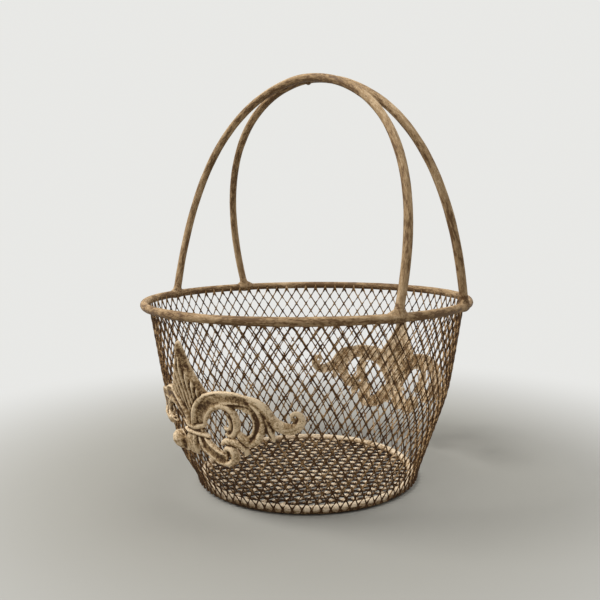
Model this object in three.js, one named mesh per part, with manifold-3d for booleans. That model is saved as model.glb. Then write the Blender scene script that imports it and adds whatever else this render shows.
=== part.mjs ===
// Round mesh basket with a pair of welded arch handles and two cast scroll ornaments.
// Millimetres, +Z up. The origin is on the floor under the middle of the basket.
// The handles span X. The ornaments face about -Y (front) and +Y (back).

import * as THREE from "three";
import { mergeVertices } from "three/addons/utils/BufferGeometryUtils.js";
import Module from "manifold-3d";

const wasm = await Module();
wasm.setup();

// Driving dimensions
const CLEARANCE = 0.3; // gap between pieces that touch
const ROD_DIAMETER = 6.4; // one rod stock makes the rim, the foot ring and the handles
const ROD_SIDES = 8;
const RING_SEGMENTS = 32;

const RIM_RADIUS = 130; // to the middle of the rim rod
const RIM_HEIGHT = 146.5; // floor to the middle of the rim rod

// The wall is two straight runs with a soft knee between them, and stands upright at the foot
const WALL_KNEE_HEIGHT = 75.6;
const WALL_KNEE_RADIUS = 115.4; // where the two runs would meet
const WALL_KNEE_SOFTNESS = 9.8;
const WALL_LOWER_RUN_END = 88.4; // radius of the lower run, carried down to the floor
const WALL_FOOT_RADIUS = 92.6;
const WALL_FOOT_SOFTNESS = 1.5;
const WALL_COLUMNS = 40;
const WALL_LEVELS = 10; // half diamonds from the foot to the rim

const STRAND_WIDTH = 2.2;
const STRAND_DEPTH = 2;
const BASE_SHORT_WAY = 16; // diamond of the base mesh
const BASE_LONG_WAY = 26;
const BASE_LIFT = 0.5; // under side of the base mesh above the floor
const BASE_END_GAP = 0.5; // keeps the corners of its cut strands clear of the foot ring
const BASE_TURN = THREE.MathUtils.degToRad(-5);

const HANDLE_RISE = 175.7; // middle of the rim rod to the middle of the crown
const HANDLE_FOOT_ANGLE = THREE.MathUtils.degToRad(18.2); // each foot from the X axis
const HANDLE_SHOULDER_OUT = 11; // pull of the arch's shoulder outwards from its foot
const HANDLE_CROWN_REACH = 6; // half length of the flat of the crown
const HANDLE_SAG = 6.6; // how far each arch bows in towards the other

const CROWN_WELD_LENGTH = 50;
const CROWN_WELD_SHIFT = 25; // middle of the bead along X from the crown
const CROWN_WELD_RADIUS = 2.8;
const CROWN_WELD_DROP = 3; // bead under the middle of the rods
const DRIP_OFFSET = 3; // along X from the crown
const DRIP_RADIUS = 2.5;
const DRIP_STRETCH = 1.6; // length of the drip along X to its width

const WELD_RISE = 6; // foot weld above the rim's top
const WELD_HALF_LENGTH = 6.4; // along the rim
const WELD_HALF_WIDTH = 5; // across the rim
const WELD_COLLAR = 0.9; // weld round the rod at its upper edge

const ORNAMENT_HALF_SPAN = 91; // measured round the casting's face
const ORNAMENT_RELIEF = 6;
const ORNAMENT_LEAN_SHARE = 0.385837206; // its lean, from that of the wall's upper run to the lower's
// Axis round the basket, and floor to the middle of the waist band, of each casting
const FRONT_SEAT = { axis: THREE.MathUtils.degToRad(-90), waist: 62 };
const BACK_SEAT = { axis: THREE.MathUtils.degToRad(88), waist: 55.5 };

// Fineness of the shapes
const HANDLE_STEPS = 30;
const FOOT_WELD_SIDES = 10;
const CROWN_WELD_STATIONS = 5;
const CROWN_WELD_QUARTER = 3; // segments in a quarter of the bead's section
const DRIP_SIDES = 6;
const DRIP_BANDS = 4;
const BAR_STEPS = 4;
const SLOPE_STEP = 0.25;
const SEAT_STEPS = 100;
const MERGE_TOLERANCE = 1e-4;
const TINY = 1e-6;

// Sizes that follow from the driving ones
const ROD_RADIUS = ROD_DIAMETER / 2;
const ROD_CORNER = ROD_RADIUS / Math.cos(Math.PI / ROD_SIDES);
const RING_FLAT = Math.cos(Math.PI / RING_SEGMENTS); // middle of a ring's segment to its corner

// How far the mitred tip of two strands stands past the node where they meet
function tipReach(radius) {
  const lean = Math.atan2((Math.PI * radius) / WALL_COLUMNS, RIM_HEIGHT / WALL_LEVELS);
  return STRAND_WIDTH / 2 / Math.sin(lean);
}

// The top nodes lie against the inner side of the rim rod, at the middle of its flats
const RIM_INNER = (RIM_RADIUS - ROD_RADIUS) * RING_FLAT;
const STRAND_SEAT = STRAND_DEPTH / 2 + CLEARANCE; // middle of a strand to what it lies on
const WALL_TOP_RADIUS = RIM_INNER - STRAND_SEAT;
const WALL_FOOT_HEIGHT = CLEARANCE + tipReach(WALL_FOOT_RADIUS);

const UPPER_SLOPE = (WALL_TOP_RADIUS - WALL_KNEE_RADIUS) / (RIM_HEIGHT - WALL_KNEE_HEIGHT);
const LOWER_SLOPE = (WALL_KNEE_RADIUS - WALL_LOWER_RUN_END) / WALL_KNEE_HEIGHT;
// Growth of the castings' radius with height
const ORNAMENT_LEAN = UPPER_SLOPE + ORNAMENT_LEAN_SHARE * (LOWER_SLOPE - UPPER_SLOPE);

// Radius of the middle of the wall at a height
function wallRadius(height) {
  const above = height - WALL_KNEE_HEIGHT;
  const turn = ((LOWER_SLOPE - UPPER_SLOPE) / 2) * Math.hypot(above, WALL_KNEE_SOFTNESS);
  const runs = WALL_KNEE_RADIUS + ((LOWER_SLOPE + UPPER_SLOPE) / 2) * above - turn;
  const beyond = runs - WALL_FOOT_RADIUS;
  return WALL_FOOT_RADIUS + (beyond + Math.hypot(beyond, WALL_FOOT_SOFTNESS)) / 2;
}

// Growth of the wall's radius with height
function wallSlope(height) {
  return (wallRadius(height + SLOPE_STEP) - wallRadius(height - SLOPE_STEP)) / (2 * SLOPE_STEP);
}

const FOOT_RING_RADIUS =
  wallRadius(ROD_RADIUS) - (ROD_CORNER + STRAND_SEAT) * Math.hypot(1, wallSlope(ROD_RADIUS));

// Closed geometry to a solid that can be joined and cut
function solidOf(geometry) {
  const bare = new THREE.BufferGeometry();
  bare.setAttribute("position", geometry.getAttribute("position").clone());
  bare.setIndex(geometry.getIndex());
  const merged = mergeVertices(bare, MERGE_TOLERANCE);
  return new wasm.Manifold(
    new wasm.Mesh({
      numProp: 3,
      vertProperties: Float32Array.from(merged.getAttribute("position").array),
      triVerts: Uint32Array.from(merged.getIndex().array),
    })
  );
}

// Solid back to a geometry
function geometryOf(solid) {
  const { vertProperties, triVerts } = solid.getMesh();
  return indexedGeometry(Array.from(vertProperties), Array.from(triVerts));
}

// Geometry from flat lists of coordinates and corner numbers
function indexedGeometry(coordinates, corners) {
  const geometry = new THREE.BufferGeometry();
  geometry.setAttribute("position", new THREE.Float32BufferAttribute(coordinates, 3));
  geometry.setIndex(corners);
  geometry.computeVertexNormals();
  return geometry;
}

// Closed body through a row of rings with the same number of points, capped at both ends
function loft(rings, turned) {
  const count = rings[0].length;
  const points = rings.flat();
  const corners = [];
  const face = (a, b, c) => corners.push(...(turned ? [a, c, b] : [a, b, c]));
  for (let ring = 0; ring + 1 < rings.length; ring += 1) {
    for (let i = 0; i < count; i += 1) {
      const a = ring * count + i;
      const b = ring * count + ((i + 1) % count);
      face(a, b, b + count);
      face(a, b + count, a + count);
    }
  }
  const last = (rings.length - 1) * count;
  for (let i = 1; i + 1 < count; i += 1) {
    face(0, i + 1, i);
    face(last, last + i, last + i + 1);
  }
  return indexedGeometry(points.flatMap((point) => point.toArray()), corners);
}

// Value along a list of evenly spaced stations, for a share from 0 to 1
function taper(stations, share) {
  const place = share * (stations.length - 1);
  const first = Math.min(Math.floor(place), stations.length - 2);
  return THREE.MathUtils.lerp(stations[first], stations[first + 1], place - first);
}

// Rod rings

function rodSection(grown) {
  const corner = (ROD_RADIUS + grown) / Math.cos(Math.PI / ROD_SIDES);
  return Array.from({ length: ROD_SIDES }, (_, i) => {
    const angle = ((i + 0.5) / ROD_SIDES) * Math.PI * 2;
    return new THREE.Vector2(corner * Math.cos(angle), corner * Math.sin(angle));
  });
}

// Ring of rod that lies flat at a height, with a flat of its section underneath
function ringGeometry(radius, height, grown = 0) {
  const profile = rodSection(grown).map((p) => new THREE.Vector2(radius + p.x, p.y));
  profile.push(profile[0].clone());
  const geometry = new THREE.LatheGeometry(profile, RING_SEGMENTS);
  geometry.rotateX(Math.PI / 2);
  geometry.translate(0, 0, height);
  return geometry;
}

// Diamond mesh

// Net of ridged strands: flat towards the inside, with a crest along the outside.
// Each node has a point, an outward normal and the numbers of the nodes that it is linked to.
function strandNet(nodes) {
  const coordinates = [];
  const faces = [];
  const add = (point) => coordinates.push(...point.toArray()) / 3 - 1;
  const half = STRAND_WIDTH / 2;

  nodes.forEach((node) => {
    const east = new THREE.Vector3(0, 0, 1).cross(node.normal);
    if (east.lengthSq() < TINY) east.set(1, 0, 0);
    east.normalize();
    const north = node.normal.clone().cross(east);
    const bearing = (other) => {
      const way = nodes[other].point.clone().sub(node.point);
      return Math.atan2(way.dot(north), way.dot(east));
    };
    node.ways = node.links.map((to) => ({ to, angle: bearing(to) })).sort((a, b) => a.angle - b.angle);
    node.crest = add(node.point.clone().addScaledVector(node.normal, STRAND_DEPTH / 2));
    const corner = (angle, reach) =>
      add(
        node.point
          .clone()
          .addScaledVector(node.normal, -STRAND_DEPTH / 2)
          .addScaledVector(east, reach * Math.cos(angle))
          .addScaledVector(north, reach * Math.sin(angle))
      );
    node.ways.forEach((way, i) => {
      const next = node.ways[(i + 1) % node.ways.length];
      if (node.ways.length === 1) {
        way.left = corner(way.angle + Math.PI / 2, half);
        way.right = corner(way.angle - Math.PI / 2, half);
        faces.push(node.crest, way.left, way.right);
        return;
      }
      const opening = (next.angle - way.angle + Math.PI * 2) % (Math.PI * 2);
      const shared = corner(way.angle + opening / 2, half / Math.sin(opening / 2));
      way.left = shared;
      next.right = shared;
    });
    for (let i = 1; i + 1 < node.ways.length; i += 1) {
      faces.push(node.ways[0].left, node.ways[i + 1].left, node.ways[i].left);
    }
  });

  nodes.forEach((node, from) => {
    node.ways.forEach((way) => {
      const back = nodes[way.to].ways.find((other) => other.to === from);
      const far = nodes[way.to].crest;
      faces.push(node.crest, far, back.right, node.crest, back.right, way.left);
      if (from < way.to) {
        faces.push(way.left, back.right, back.left, way.left, back.left, way.right);
      }
    });
  });
  return indexedGeometry(coordinates, faces);
}

// Wall: rows of nodes round the basket, every other row half a diamond round
function wallMeshGeometry() {
  const nodes = [];
  const number = (column, level) =>
    level * WALL_COLUMNS + ((column + WALL_COLUMNS) % WALL_COLUMNS);
  for (let level = 0; level <= WALL_LEVELS; level += 1) {
    const height = THREE.MathUtils.lerp(WALL_FOOT_HEIGHT, RIM_HEIGHT, level / WALL_LEVELS);
    const radius = wallRadius(height);
    for (let column = 0; column < WALL_COLUMNS; column += 1) {
      const odd = level % 2;
      const angle = ((column + odd / 2) / WALL_COLUMNS) * Math.PI * 2;
      const out = new THREE.Vector3(Math.cos(angle), Math.sin(angle), 0);
      const links = [];
      for (const row of [level - 1, level + 1]) {
        if (row >= 0 && row <= WALL_LEVELS) {
          links.push(number(column + odd - 1, row), number(column + odd, row));
        }
      }
      nodes.push({
        point: out.clone().multiplyScalar(radius).setZ(height),
        normal: out.clone().setZ(-wallSlope(height)).normalize(),
        links,
      });
    }
  }
  return strandNet(nodes);
}

// Base: a flat sheet of diamonds whose strands are cut off at the foot ring
function baseMeshGeometry() {
  const reach = (FOOT_RING_RADIUS - ROD_RADIUS) * RING_FLAT - BASE_END_GAP;
  const middle = BASE_LIFT + STRAND_DEPTH / 2;
  const up = new THREE.Vector3(0, 0, 1);
  const turned = (x, y) => new THREE.Vector3(x, y, 0).applyAxisAngle(up, BASE_TURN).setZ(middle);
  const nodes = [];
  const numbers = new Map();
  const place = (column, row) => turned((column * BASE_SHORT_WAY) / 2, (row * BASE_LONG_WAY) / 2);
  const inside = (point) => Math.hypot(point.x, point.y) < reach - STRAND_WIDTH;
  const columns = Math.ceil((2 * reach) / BASE_SHORT_WAY);
  const rows = Math.ceil((2 * reach) / BASE_LONG_WAY);
  for (let row = -rows; row <= rows; row += 1) {
    for (let column = -columns; column <= columns; column += 1) {
      const point = place(column, row);
      if ((row + column) % 2 === 0 && inside(point)) {
        numbers.set(`${column},${row}`, nodes.length);
        nodes.push({ point, normal: up, links: [], column, row });
      }
    }
  }
  for (const node of [...nodes]) {
    const from = numbers.get(`${node.column},${node.row}`);
    for (const [across, along] of [[1, 1], [-1, 1], [-1, -1], [1, -1]]) {
      const to = numbers.get(`${node.column + across},${node.row + along}`);
      if (to !== undefined) {
        node.links.push(to);
        continue;
      }
      const way = place(node.column + across, node.row + along).sub(node.point).normalize();
      const outward = node.point.dot(way) - middle * way.z;
      const planar = node.point.x ** 2 + node.point.y ** 2;
      const run = -outward + Math.sqrt(outward ** 2 + reach ** 2 - planar);
      node.links.push(nodes.length);
      nodes.push({ point: node.point.clone().addScaledVector(way, run), normal: up, links: [from] });
    }
  }
  return strandNet(nodes);
}

// Handles

const FOOT_SPAN = RIM_RADIUS * Math.cos(HANDLE_FOOT_ANGLE);
const FOOT_OFFSET = RIM_RADIUS * Math.sin(HANDLE_FOOT_ANGLE);
const CROWN_OFFSET = ROD_CORNER + CLEARANCE / 2;
const HALF_ARCH = new THREE.CubicBezierCurve(
  new THREE.Vector2(FOOT_SPAN, ROD_RADIUS / 2),
  new THREE.Vector2(FOOT_SPAN + HANDLE_SHOULDER_OUT, HANDLE_RISE),
  new THREE.Vector2(HANDLE_CROWN_REACH, HANDLE_RISE),
  new THREE.Vector2(0, HANDLE_RISE)
);

// Middle of a handle rod from its foot at +X to its foot at -X
class HandleCurve extends THREE.Curve {
  constructor(side) {
    super();
    this.side = side;
  }

  getPoint(share, target = new THREE.Vector3()) {
    const far = share > 0.5;
    const arch = HALF_ARCH.getPoint(far ? 2 - 2 * share : 2 * share);
    const climb = arch.y / HANDLE_RISE;
    const bow = HANDLE_SAG * climb * (1 - climb);
    const offset = THREE.MathUtils.lerp(FOOT_OFFSET, CROWN_OFFSET, climb) - bow;
    return target.set(far ? -arch.x : arch.x, this.side * offset, RIM_HEIGHT + arch.y);
  }
}

function rodGeometry(path, grown = 0) {
  const section = new THREE.Shape(rodSection(grown));
  return new THREE.ExtrudeGeometry(section, { steps: HANDLE_STEPS, extrudePath: path });
}

// Rod with its ends coped to sit on the rim
function handleGeometry(path) {
  const rim = solidOf(ringGeometry(RIM_RADIUS, RIM_HEIGHT, CLEARANCE));
  return geometryOf(solidOf(rodGeometry(path)).subtract(rim));
}

// Flared weld that sits on the rim round the foot of a handle rod
function footWeldGeometry(path, end) {
  const foot = path.getPoint(end);
  const lean = path.getTangent(end).multiplyScalar(end === 0 ? 1 : -1);
  const out = new THREE.Vector3(foot.x, foot.y, 0).normalize();
  const along = new THREE.Vector3(-out.y, out.x, 0);
  const collar = ROD_CORNER + CLEARANCE + WELD_COLLAR;
  const stations = [
    { height: 0, width: WELD_HALF_WIDTH, length: WELD_HALF_LENGTH },
    { height: ROD_RADIUS, width: WELD_HALF_WIDTH, length: WELD_HALF_LENGTH },
    { height: ROD_RADIUS + WELD_RISE / 3, width: collar, length: (collar + WELD_HALF_LENGTH) / 2 },
    { height: ROD_RADIUS + WELD_RISE, width: collar, length: collar },
  ];
  const rings = stations.map(({ height, width, length }) =>
    Array.from({ length: FOOT_WELD_SIDES }, (_, i) => {
      const angle = (i / FOOT_WELD_SIDES) * Math.PI * 2;
      return foot
        .clone()
        .addScaledVector(lean, height / lean.z)
        .addScaledVector(out, width * Math.cos(angle))
        .addScaledVector(along, length * Math.sin(angle));
    })
  );
  const rim = solidOf(ringGeometry(RIM_RADIUS, RIM_HEIGHT, CLEARANCE));
  const rod = solidOf(rodGeometry(path, CLEARANCE));
  return geometryOf(solidOf(loft(rings, false)).subtract(rim).subtract(rod));
}

// Bead under the crown, with a drip, that joins the two arches
function crownWeldGeometry(paths) {
  const length = paths[0].getLength();
  const points = Array.from({ length: CROWN_WELD_STATIONS }, (_, i) => {
    const along = CROWN_WELD_LENGTH * (0.5 - i / (CROWN_WELD_STATIONS - 1)) - CROWN_WELD_SHIFT;
    const share = 0.5 + along / length;
    const point = paths[0].getPointAt(share);
    return point.setY(0).setZ(point.z - CROWN_WELD_DROP);
  });
  const bead = new THREE.Shape();
  bead.absarc(0, 0, CROWN_WELD_RADIUS, 0, Math.PI * 2);
  const path = new THREE.CatmullRomCurve3(points);
  const run = new THREE.ExtrudeGeometry(bead, {
    steps: CROWN_WELD_STATIONS + 1,
    curveSegments: CROWN_WELD_QUARTER,
    extrudePath: path,
  });
  const drip = new THREE.SphereGeometry(DRIP_RADIUS, DRIP_SIDES, DRIP_BANDS);
  drip.scale(DRIP_STRETCH, 1, 1);
  const crown = RIM_HEIGHT + HANDLE_RISE;
  drip.translate(DRIP_OFFSET, 0, crown - CROWN_WELD_DROP - CROWN_WELD_RADIUS / 2);
  const rods = paths.map((rod) => solidOf(rodGeometry(rod, CLEARANCE)));
  return geometryOf(solidOf(run).add(solidOf(drip)).subtract(rods[0]).subtract(rods[1]));
}

// Scroll ornament

// Spines and half widths are in hundredths of the half span, measured round the wall from the
// casting's axis and up from its waist. Each band is given for one side and mirrored.
const HUNDREDTH = ORNAMENT_HALF_SPAN / 100;
const SCROLL_BANDS = [
  {
    // Great arm, from the waist over the top and out to its curl
    spine: [
      [4, 8], [13, 18], [26, 27], [40, 30.5], [53, 29.5], [66, 25], [74, 18], [82, 13], [90, 11],
      [96, 14], [97, 19], [94, 22.5], [90, 21.5],
    ],
    halfWidths: [4.5, 6.5, 6.5, 5.5, 4, 3, 2.5, 1.5],
    relief: 1,
    steps: 15,
  },
  {
    // Volute inside the arm
    spine: [[40, 26], [45.5, 19], [46, 12], [43, 5.5], [37.5, 2.8], [33, 5], [34, 10], [37.5, 11.5]],
    halfWidths: [3.5, 3.5, 3.2, 1.4],
    relief: 0.8,
    steps: 9,
  },
  {
    // Leaf that closes the outer piercing
    spine: [[59, 28], [66, 18], [66.5, 9], [61, 1], [53, -3], [44, -1.5]],
    halfWidths: [4, 4, 3.6, 2.8],
    relief: 0.8,
    steps: 7,
  },
  {
    // Spur under the arm
    spine: [[70, 17], [72, 9], [73.3, 0]],
    halfWidths: [2.8, 2.4, 0.8],
    relief: 0.6,
    steps: 3,
  },
  {
    // Lower scroll
    spine: [[5, -4], [8, -12], [14.5, -16.5], [23, -19], [32, -19.5], [39, -15.5], [38, -11], [33.5, -11]],
    halfWidths: [5, 7, 6, 4.6, 3.4, 1.8],
    relief: 1,
    steps: 10,
  },
  {
    // Lip of the lower scroll
    spine: [[28, -8], [38.5, -5.5], [47, -9], [49, -14]],
    halfWidths: [3.2, 3, 1],
    relief: 0.7,
    steps: 4,
  },
];
const CHANNEL = [[-1, 0], [-0.9, 1], [0, 0.55], [0.9, 1], [1, 0]]; // raised edges and a hollow
const DOME = [[-1, 0], [-0.8, 0.7], [0, 1], [0.8, 0.7], [1, 0]];
const WAIST_BARS = [
  { height: 5.8, halfWidth: 2.4, halfLength: 13.2, relief: 1.15 },
  { height: 1.8, halfWidth: 4, halfLength: 11.5, relief: 0.6 },
  { height: -2, halfWidth: 2, halfLength: 14.8, relief: 1.15 },
];
const BUD = { spine: [[0, -5], [0, -14], [0, -25]], halfWidths: [3.5, 4, 0.8], relief: 0.9, steps: 3 };
const LEAF_ROOT = 10; // where the flutes of the leaf meet, above the waist
const LEAF_SHOULDER = 29.7; // reach of the leaf at its sides
const LEAF_TIP = 27.1; // extra reach of the leaf at its tip
const LEAF_TIP_SPREAD = THREE.MathUtils.degToRad(13.9);
const LEAF_TIP_POWER = 1.3; // how the extra reach falls away from the tip
const LEAF_HALF_FAN = THREE.MathUtils.degToRad(48);
const LEAF_FLUTES = 6;
const LEAF_RINGS = [0.12, 0.5, 0.85, 1];
const LEAF_CREST = 0.8;
const LEAF_VALLEY = 0.45;
const LEAF_EDGE = 0.4;

// The casting is stiff and straight from top to bottom, so its back rests on the knee of the wall
const CASTING_LOW = Math.min(FRONT_SEAT.waist, BACK_SEAT.waist) + BUD.spine.at(-1)[1];
const CASTING_HIGH = Math.max(FRONT_SEAT.waist, BACK_SEAT.waist) + LEAF_ROOT + LEAF_SHOULDER + LEAF_TIP;
const WALL_REACH = Array.from({ length: SEAT_STEPS + 1 }, (_, i) => (i / SEAT_STEPS) * RIM_HEIGHT)
  .filter((height) => height > CASTING_LOW && height < CASTING_HIGH)
  .map((height) => wallRadius(height) - ORNAMENT_LEAN * height);
const CASTING_BACK = Math.max(...WALL_REACH) + STRAND_SEAT * Math.hypot(1, ORNAMENT_LEAN);
const CASTING_FACE = CASTING_BACK + ORNAMENT_LEAN * WALL_KNEE_HEIGHT + ORNAMENT_RELIEF / 2;

// Point of a casting: millimetres round the wall and up from the waist, and a share of the relief
function onCasting(seat, round, rise, out) {
  const height = seat.waist + rise;
  const angle = seat.axis + round / CASTING_FACE;
  const radius = CASTING_BACK + ORNAMENT_LEAN * height + out * ORNAMENT_RELIEF;
  return new THREE.Vector3(radius * Math.cos(angle), radius * Math.sin(angle), height);
}

// Tapering band along a spine, mirrored where side is -1
function bandGeometry(seat, band, section, side) {
  const spine = new THREE.SplineCurve(band.spine.map(([x, y]) => new THREE.Vector2(x, y)));
  const rings = Array.from({ length: band.steps + 1 }, (_, i) => {
    const share = i / band.steps;
    const middle = spine.getPointAt(share);
    const way = spine.getTangentAt(share);
    const half = taper(band.halfWidths, share);
    return section.map(([across, out]) =>
      onCasting(
        seat,
        HUNDREDTH * side * (middle.x - way.y * across * half),
        HUNDREDTH * (middle.y + way.x * across * half),
        out * band.relief
      )
    );
  });
  return loft(rings, side > 0);
}

// Fluted leaf: rays fan out from the root, with crests and valleys by turns
function leafGeometry(seat) {
  const rays = LEAF_FLUTES * 2;
  const rings = Array.from({ length: rays + 1 }, (_, i) => {
    const angle = LEAF_HALF_FAN * ((2 * i) / rays - 1);
    const fall = (Math.abs(angle) / LEAF_TIP_SPREAD) ** LEAF_TIP_POWER;
    const reach = LEAF_SHOULDER + LEAF_TIP * Math.exp(-fall);
    const crest = i % 2 === 1 ? LEAF_CREST : LEAF_VALLEY;
    const at = (share, out) =>
      onCasting(seat, share * reach * Math.sin(angle), LEAF_ROOT + share * reach * Math.cos(angle), out);
    const front = LEAF_RINGS.map((share) => at(share, share === 1 ? LEAF_EDGE : crest));
    const back = LEAF_RINGS.map((share) => at(share, 0)).reverse();
    return [...front, ...back];
  });
  return loft(rings, true);
}

function ornamentGeometry(seat) {
  const pieces = [leafGeometry(seat), bandGeometry(seat, BUD, DOME, 1)];
  for (const side of [1, -1]) {
    pieces.push(...SCROLL_BANDS.map((band) => bandGeometry(seat, band, CHANNEL, side)));
  }
  for (const { height, halfWidth, halfLength, relief } of WAIST_BARS) {
    const spine = [[-halfLength, height], [halfLength, height]];
    const bar = { spine, halfWidths: [halfWidth, halfWidth], relief, steps: BAR_STEPS };
    pieces.push(bandGeometry(seat, bar, DOME, 1));
  }
  return geometryOf(pieces.map(solidOf).reduce((whole, piece) => whole.add(piece)));
}

// Assembly

const FINISHES = {
  rod: { color: 0x9a8467, roughness: 0.7, metalness: 0.2 },
  mesh: { color: 0x5e4a36, roughness: 0.75, metalness: 0.25 },
  casting: { color: 0xa8926f, roughness: 0.75, metalness: 0.15 },
  weld: { color: 0x8d765a, roughness: 0.7, metalness: 0.2 },
};

const basket = new THREE.Group();

function addPiece(name, geometry, finish) {
  const mesh = new THREE.Mesh(geometry, new THREE.MeshStandardMaterial(FINISHES[finish]));
  mesh.name = name;
  basket.add(mesh);
}

addPiece("rim_ring", ringGeometry(RIM_RADIUS, RIM_HEIGHT), "rod");
addPiece("foot_ring", ringGeometry(FOOT_RING_RADIUS, ROD_RADIUS), "rod");
addPiece("wall_mesh", wallMeshGeometry(), "mesh");
addPiece("base_mesh", baseMeshGeometry(), "mesh");

const handles = { front: new HandleCurve(-1), back: new HandleCurve(1) };
for (const [place, path] of Object.entries(handles)) {
  addPiece(`handle_${place}`, handleGeometry(path), "rod");
  addPiece(`foot_weld_${place}_right`, footWeldGeometry(path, 0), "weld");
  addPiece(`foot_weld_${place}_left`, footWeldGeometry(path, 1), "weld");
}
addPiece("crown_weld", crownWeldGeometry(Object.values(handles)), "weld");

addPiece("ornament_front", ornamentGeometry(FRONT_SEAT), "casting");
addPiece("ornament_back", ornamentGeometry(BACK_SEAT), "casting");

export default basket;
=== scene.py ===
"""Round mesh basket with arched rod handles and cast scroll ornaments, dressed and lit.

Metres, +Z up. The origin is on the floor under the middle of the basket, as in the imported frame.
The handles span X, and the ornaments face about -Y (front) and +Y (back).
"""

import logging
import math
from contextlib import contextmanager
from dataclasses import dataclass, replace
from enum import Enum
from typing import Iterator, Sequence

import bmesh
import bpy
import numpy as np
from mathutils import Matrix, Vector


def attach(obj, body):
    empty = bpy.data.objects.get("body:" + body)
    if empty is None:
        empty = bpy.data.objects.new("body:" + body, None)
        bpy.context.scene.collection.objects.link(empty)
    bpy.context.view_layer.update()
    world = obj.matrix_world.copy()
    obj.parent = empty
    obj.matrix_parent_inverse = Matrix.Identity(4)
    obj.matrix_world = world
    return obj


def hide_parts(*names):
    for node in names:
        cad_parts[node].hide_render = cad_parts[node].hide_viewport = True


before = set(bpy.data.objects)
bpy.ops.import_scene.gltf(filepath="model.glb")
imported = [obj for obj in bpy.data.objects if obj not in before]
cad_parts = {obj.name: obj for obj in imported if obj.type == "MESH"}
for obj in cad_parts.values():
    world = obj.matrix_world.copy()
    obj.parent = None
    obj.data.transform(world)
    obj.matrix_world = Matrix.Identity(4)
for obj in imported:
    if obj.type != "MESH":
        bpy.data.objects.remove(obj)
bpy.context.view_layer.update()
LOG = logging.getLogger("basket")
MM = 0.001
BODY = "root"

Thing = bpy.types.Object
Finish = bpy.types.Material
Socket = bpy.types.NodeSocket
Array = np.ndarray
Colour = tuple[float, float, float, float]
Place = tuple[float, float, float]

# Share of a rod's length that is left in the pattern of its wear, so that the wear runs lengthwise
ROD_DRAWN = 0.25
# Largest angle in degrees that is shaded smooth, for the pieces of each slot
SMOOTHED = {"rod": 60, "mesh": 35, "weld": 80, "casting": 80}


class Part(Enum):
    """Kinds of mesh element that can be selected."""

    POINT = "VERT"
    EDGE = "EDGE"
    FACE = "FACE"


class Side(Enum):
    """Sides of the casting, as the sign of its drawing across."""

    RIGHT = 1
    LEFT = -1


# Working on numbers and meshes


def share(value: Array, low: float | Array, high: float | Array) -> Array:
    """How far each value lies from one limit to the other, from 0 to 1."""
    return np.clip((value - low) / (high - low), 0, 1)


def soft(part: Array) -> Array:
    """Shares from 0 to 1 with soft ends."""
    return part**2 * (3 - 2 * part)


def read(elements: bpy.types.bpy_prop_collection, name: str, width: int, kind: type = float) -> Array:
    """Reads one property of all elements of a mesh.

    Args:
        elements: points, edges or values of a layer.
        name: name of the property.
        width: how many values each element has.
        kind: type of the values.

    Returns:
        Array of elements by values.
    """
    flat = np.empty(len(elements) * width, kind)
    elements.foreach_get(name, flat)
    return flat.reshape(-1, width)


def points_of(obj: Thing) -> Array:
    """Places of a mesh's points, points by three."""
    return read(obj.data.vertices, "co", 3)


def edges_of(obj: Thing) -> Array:
    """Point numbers at the two ends of each edge, edges by two."""
    return read(obj.data.edges, "vertices", 2, np.int32)


def place_points(obj: Thing, points: Array) -> None:
    """Moves all points of a mesh to new places, points by three."""
    obj.data.vertices.foreach_set("co", np.ascontiguousarray(points, np.float32).ravel())
    obj.data.update()


def put(name: str, data: bpy.types.ID) -> Thing:
    """Puts a new object into the scene.

    Args:
        name: its name.
        data: curve, camera or lamp that it shows.

    Returns:
        The object.
    """
    obj = bpy.data.objects.new(name, data)
    bpy.context.scene.collection.objects.link(obj)
    return obj


def select_only(*objects: Thing) -> None:
    """Selects these objects alone and makes the first one active.

    Args:
        objects: what to select.
    """
    bpy.ops.object.select_all(action="DESELECT")
    for obj in objects:
        obj.select_set(True)
    bpy.context.view_layer.objects.active = objects[0]


@contextmanager
def editing(obj: Thing, part: Part, selection: str | None = "SELECT") -> Iterator[None]:
    """Opens a mesh in edit mode, and closes it at the end.

    Args:
        obj: mesh object to edit.
        part: kind of element that is selected.
        selection: what is done with all elements first, or none to keep what is selected.
    """
    select_only(obj)
    bpy.ops.object.mode_set(mode="EDIT")
    bpy.ops.mesh.select_mode(type=part.value)
    if selection:
        bpy.ops.mesh.select_all(action=selection)
    yield
    bpy.ops.object.mode_set(mode="OBJECT")


@contextmanager
def picked(obj: Thing, part: Part, chosen: Array) -> Iterator[None]:
    """Opens a mesh in edit mode with only the chosen edges or faces selected.

    Args:
        obj: mesh object.
        part: kind of element.
        chosen: one truth value per element.
    """
    with editing(obj, part, "DESELECT"):
        pass
    elements = obj.data.edges if part is Part.EDGE else obj.data.polygons
    elements.foreach_set("select", chosen)
    with editing(obj, part, None):
        yield


def apply_modifier(obj: Thing, kind: str, **settings: object) -> None:
    """Puts a modifier on an object and applies it.

    Args:
        obj: mesh object.
        kind: type of modifier.
        settings: values of the modifier's fields.
    """
    select_only(obj)
    modifier = obj.modifiers.new(kind.title(), kind)
    for name, value in settings.items():
        setattr(modifier, name, value)
    bpy.ops.object.modifier_apply(modifier=modifier.name)


def merge_points(obj: Thing, distance: float = 0.01 * MM) -> None:
    """Merges points that lie together.

    Args:
        obj: mesh object.
        distance: farthest that two merged points lie apart.
    """
    with editing(obj, Part.POINT):
        bpy.ops.mesh.remove_doubles(threshold=distance)
        bpy.ops.mesh.normals_make_consistent(inside=False)


def turn_to_mesh(curve: Thing) -> None:
    """Turns a curve object into a mesh.

    Args:
        curve: curve object with its section.
    """
    select_only(curve)
    bpy.ops.object.convert(target="MESH")
    merge_points(curve)


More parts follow.
